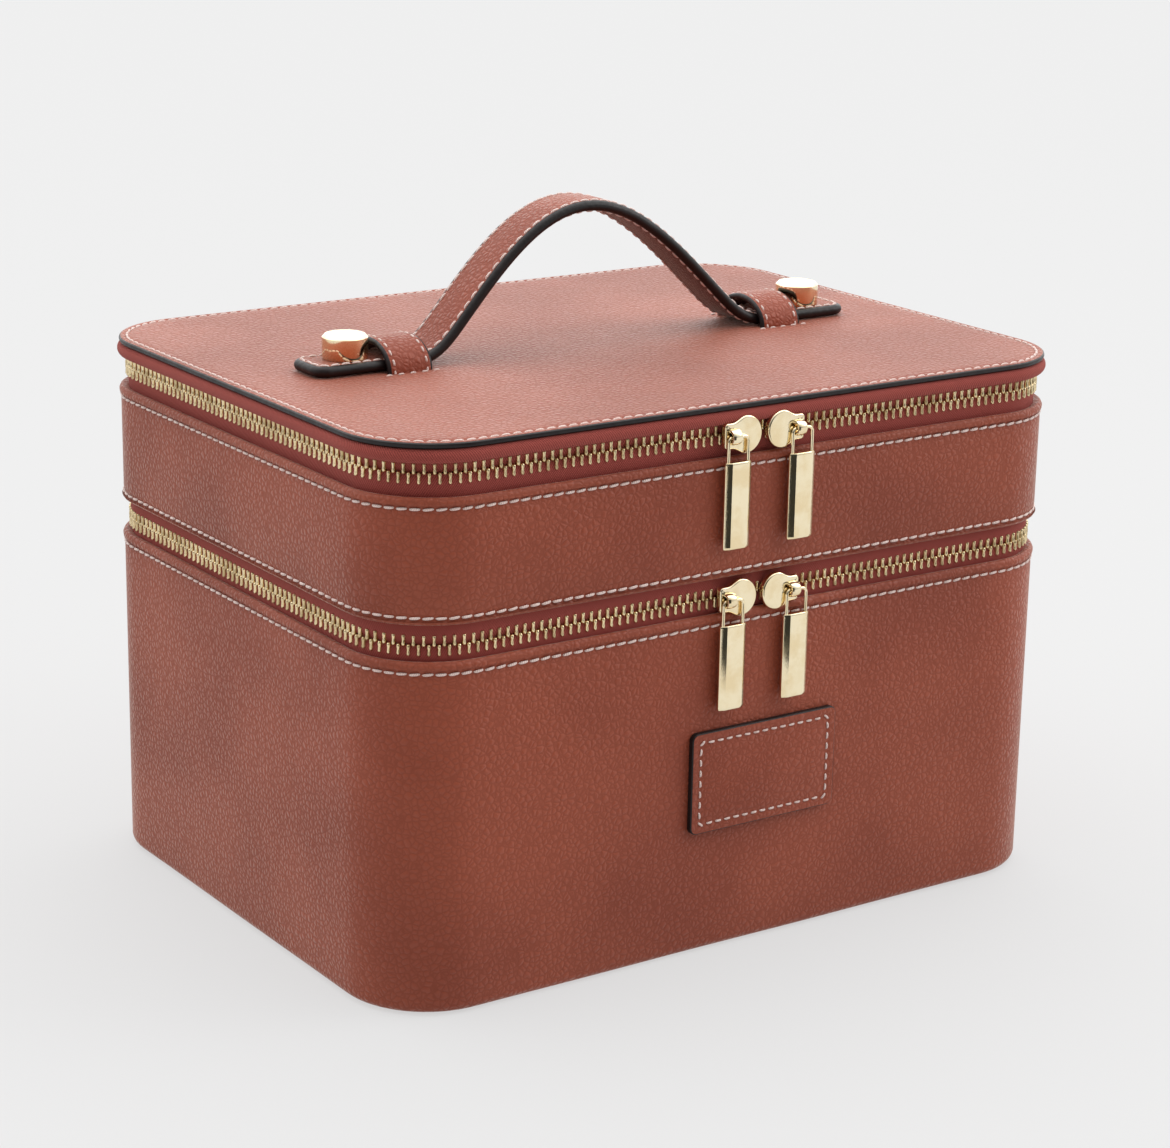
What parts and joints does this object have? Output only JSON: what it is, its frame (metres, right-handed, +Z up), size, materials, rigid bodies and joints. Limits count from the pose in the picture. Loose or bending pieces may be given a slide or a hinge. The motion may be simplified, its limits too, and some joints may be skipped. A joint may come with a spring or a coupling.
{
  "type": "jewellery case",
  "caption": "Two-tier tan leather jewellery case with a shallow tray tier, zips on three sides with paired sliders, and a top handle that slides through leather keepers.",
  "frame": {"origin": "middle of the base panel's underside, which rests on the surface", "axes": "+X to the right along the front, -Y out of the front with the zip pulls and the patch, +Z up"},
  "size_m": [0.25, 0.1946, 0.2163],
  "materials": {
    "tan_leather": "pebbled, satin",
    "tape": "woven matte",
    "board": "matte",
    "foam": "matte",
    "lining": "suede",
    "gold": "polished",
    "mirror": "polished"
  },
  "bodies": {
    "lower_case": {"base_leather": "tan_leather", "lower_side_leather": "tan_leather", "lower_foam_wrap": "foam", "lower_board_box": "board", "lower_lining": "lining", "lower_rim_binding": "lining", "front_patch": "tan_leather", "lower_zip_bottom_tape": "tape", "lower_zip_bottom_teeth": "gold", "lower_hinge_strip": "tan_leather"},
    "upper_tier": {"tier_side_leather": "tan_leather", "tier_foam_wrap": "foam", "tier_board_tray": "board", "tier_lining": "lining", "tier_underside_lining": "lining", "tier_rim_binding": "lining", "lower_zip_top_tape": "tape", "lower_zip_top_teeth": "gold", "upper_zip_bottom_tape": "tape", "upper_zip_bottom_teeth": "gold", "upper_hinge_strip": "tan_leather", "tray_divider_long": "lining", "tray_divider_front": "lining", "tray_divider_back_left": "lining", "tray_divider_back_right": "lining", "ring_roll_1": "lining", "ring_roll_2": "lining", "ring_roll_3": "lining", "ring_roll_4": "lining", "ring_roll_5": "lining"},
    "lid": {"lid_top_leather": "tan_leather", "lid_board": "board", "lid_lining": "lining", "lid_mirror": "mirror", "mirror_frame": "tan_leather", "upper_zip_top_tape": "tape", "upper_zip_top_teeth": "gold", "keeper_left": "tan_leather", "keeper_right": "tan_leather", "handle_strap": "tan_leather"},
    "handle_end_left": {"handle_tab_left": "tan_leather", "stud_left": "gold", "stud_screw_left": "gold"},
    "handle_end_right": {"handle_tab_right": "tan_leather", "stud_right": "gold", "stud_screw_right": "gold"},
    "lower_left_slider": {"lower_slider_left": "gold"},
    "lower_left_pull": {"lower_bail_left": "gold", "lower_pull_tab_left": "gold"},
    "lower_right_slider": {"lower_slider_right": "gold"},
    "lower_right_pull": {"lower_bail_right": "gold", "lower_pull_tab_right": "gold"},
    "upper_left_slider": {"upper_slider_left": "gold"},
    "upper_left_pull": {"upper_bail_left": "gold", "upper_pull_tab_left": "gold"},
    "upper_right_slider": {"upper_slider_right": "gold"},
    "upper_right_pull": {"upper_bail_right": "gold", "upper_pull_tab_right": "gold"}
  },
  "joints": [
    {"name": "tier_hinge", "type": "hinge", "parent": "lower_case", "child": "upper_tier", "pos_m": [0, 0.095, 0.1114], "axis": [-1, 0, 0], "range_deg": [0, 100], "deforming": ["lower_hinge_strip"]},
    {"name": "lid_hinge", "type": "hinge", "parent": "upper_tier", "child": "lid", "pos_m": [0, 0.095, 0.1609], "axis": [-1, 0, 0], "range_deg": [0, 110], "deforming": ["upper_hinge_strip"]},
    {"name": "handle_left_slide", "type": "slide", "parent": "lid", "child": "handle_end_left", "axis": [-1, 0, 0], "range_m": [0, 0.015]},
    {"name": "handle_right_slide", "type": "slide", "parent": "lid", "child": "handle_end_right", "axis": [1, 0, 0], "range_m": [0, 0.015]},
    {"name": "lower_left_zip_slide", "type": "slide", "parent": "lower_case", "child": "lower_left_slider", "axis": [-1, 0, 0], "range_m": [0, 0.082]},
    {"name": "lower_left_pull_hinge", "type": "hinge", "parent": "lower_left_slider", "child": "lower_left_pull", "pos_m": [-0.0107, -0.0976, 0.1114], "axis": [-1, 0, 0], "range_deg": [0, 150]},
    {"name": "lower_right_zip_slide", "type": "slide", "parent": "lower_case", "child": "lower_right_slider", "axis": [1, 0, 0], "range_m": [0, 0.082]},
    {"name": "lower_right_pull_hinge", "type": "hinge", "parent": "lower_right_slider", "child": "lower_right_pull", "pos_m": [0.0128, -0.0976, 0.1114], "axis": [-1, 0, 0], "range_deg": [0, 150]},
    {"name": "upper_left_zip_slide", "type": "slide", "parent": "upper_tier", "child": "upper_left_slider", "axis": [-1, 0, 0], "range_m": [0, 0.082]},
    {"name": "upper_left_pull_hinge", "type": "hinge", "parent": "upper_left_slider", "child": "upper_left_pull", "pos_m": [-0.0107, -0.0976, 0.1609], "axis": [-1, 0, 0], "range_deg": [0, 150]},
    {"name": "upper_right_zip_slide", "type": "slide", "parent": "upper_tier", "child": "upper_right_slider", "axis": [1, 0, 0], "range_m": [0, 0.082]},
    {"name": "upper_right_pull_hinge", "type": "hinge", "parent": "upper_right_slider", "child": "upper_right_pull", "pos_m": [0.0128, -0.0976, 0.1609], "axis": [-1, 0, 0], "range_deg": [0, 150]}
  ],
  "couplings": [
    {"joint": "handle_right_slide", "follows": "handle_left_slide", "ratio": 1}
  ]
}
